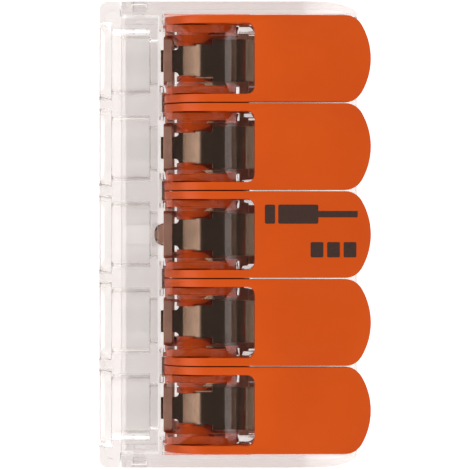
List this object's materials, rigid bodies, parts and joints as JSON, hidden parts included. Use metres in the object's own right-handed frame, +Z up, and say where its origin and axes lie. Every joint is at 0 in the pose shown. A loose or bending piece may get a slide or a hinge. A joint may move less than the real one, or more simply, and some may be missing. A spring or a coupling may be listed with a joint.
{
  "type": "lever wire connector",
  "caption": "Clear splicing connector for electrical wires: a row of orange levers, each opening a spring clamp over one shared busbar.",
  "frame": {"origin": "centre of the overall box, on the flat bottom face", "axes": "+X the way a wire is pushed in, from the entry face towards the free ends of the levers; +Y across the row of poles, pole 1 at the largest Y; +Z up, the side the levers open to"},
  "size_m": [0.0214, 0.0366, 0.0101],
  "materials": {
    "clear_housing": "polished clear",
    "clear_cover": "polished clear",
    "tinned_copper": "satin tin plate over copper",
    "spring_steel": "rolled strip",
    "orange_lever": "fine satin moulding"
  },
  "bodies": {
    "root": {"housing": "clear_housing", "front_cover": "clear_cover", "busbar": "tinned_copper", "spring_1": "spring_steel", "spring_2": "spring_steel", "spring_3": "spring_steel", "spring_4": "spring_steel", "spring_5": "spring_steel"},
    "lever_1": {"lever_1": "orange_lever"},
    "clamp_leg_1": {"clamp_leg_1": "spring_steel"},
    "lever_2": {"lever_2": "orange_lever"},
    "clamp_leg_2": {"clamp_leg_2": "spring_steel"},
    "lever_3": {"lever_3": "orange_lever"},
    "clamp_leg_3": {"clamp_leg_3": "spring_steel"},
    "lever_4": {"lever_4": "orange_lever"},
    "clamp_leg_4": {"clamp_leg_4": "spring_steel"},
    "lever_5": {"lever_5": "orange_lever"},
    "clamp_leg_5": {"clamp_leg_5": "spring_steel"}
  },
  "joints": [
    {"name": "lever_1_hinge", "type": "hinge", "parent": "root", "child": "lever_1", "pos_m": [-0.00205, 0.01386, 0.0065], "axis": [0, -1, 0], "range_deg": [0, 90]},
    {"name": "clamp_leg_1_flex", "type": "hinge", "parent": "root", "child": "clamp_leg_1", "pos_m": [0.00133, 0.01386, 0.00505], "axis": [0, 1, 0], "range_deg": [0, 27]},
    {"name": "lever_2_hinge", "type": "hinge", "parent": "root", "child": "lever_2", "pos_m": [-0.00205, 0.00693, 0.0065], "axis": [0, -1, 0], "range_deg": [0, 90]},
    {"name": "clamp_leg_2_flex", "type": "hinge", "parent": "root", "child": "clamp_leg_2", "pos_m": [0.00133, 0.00693, 0.00505], "axis": [0, 1, 0], "range_deg": [0, 27]},
    {"name": "lever_3_hinge", "type": "hinge", "parent": "root", "child": "lever_3", "pos_m": [-0.00205, 0, 0.0065], "axis": [0, -1, 0], "range_deg": [0, 90]},
    {"name": "clamp_leg_3_flex", "type": "hinge", "parent": "root", "child": "clamp_leg_3", "pos_m": [0.00133, 0, 0.00505], "axis": [0, 1, 0], "range_deg": [0, 27]},
    {"name": "lever_4_hinge", "type": "hinge", "parent": "root", "child": "lever_4", "pos_m": [-0.00205, -0.00693, 0.0065], "axis": [0, -1, 0], "range_deg": [0, 90]},
    {"name": "clamp_leg_4_flex", "type": "hinge", "parent": "root", "child": "clamp_leg_4", "pos_m": [0.00133, -0.00693, 0.00505], "axis": [0, 1, 0], "range_deg": [0, 27]},
    {"name": "lever_5_hinge", "type": "hinge", "parent": "root", "child": "lever_5", "pos_m": [-0.00205, -0.01386, 0.0065], "axis": [0, -1, 0], "range_deg": [0, 90]},
    {"name": "clamp_leg_5_flex", "type": "hinge", "parent": "root", "child": "clamp_leg_5", "pos_m": [0.00133, -0.01386, 0.00505], "axis": [0, 1, 0], "range_deg": [0, 27]}
  ],
  "couplings": [
    {"joint": "clamp_leg_1_flex", "follows": "lever_1_hinge", "ratio": 0.3},
    {"joint": "clamp_leg_2_flex", "follows": "lever_2_hinge", "ratio": 0.3},
    {"joint": "clamp_leg_3_flex", "follows": "lever_3_hinge", "ratio": 0.3},
    {"joint": "clamp_leg_4_flex", "follows": "lever_4_hinge", "ratio": 0.3},
    {"joint": "clamp_leg_5_flex", "follows": "lever_5_hinge", "ratio": 0.3}
  ]
}
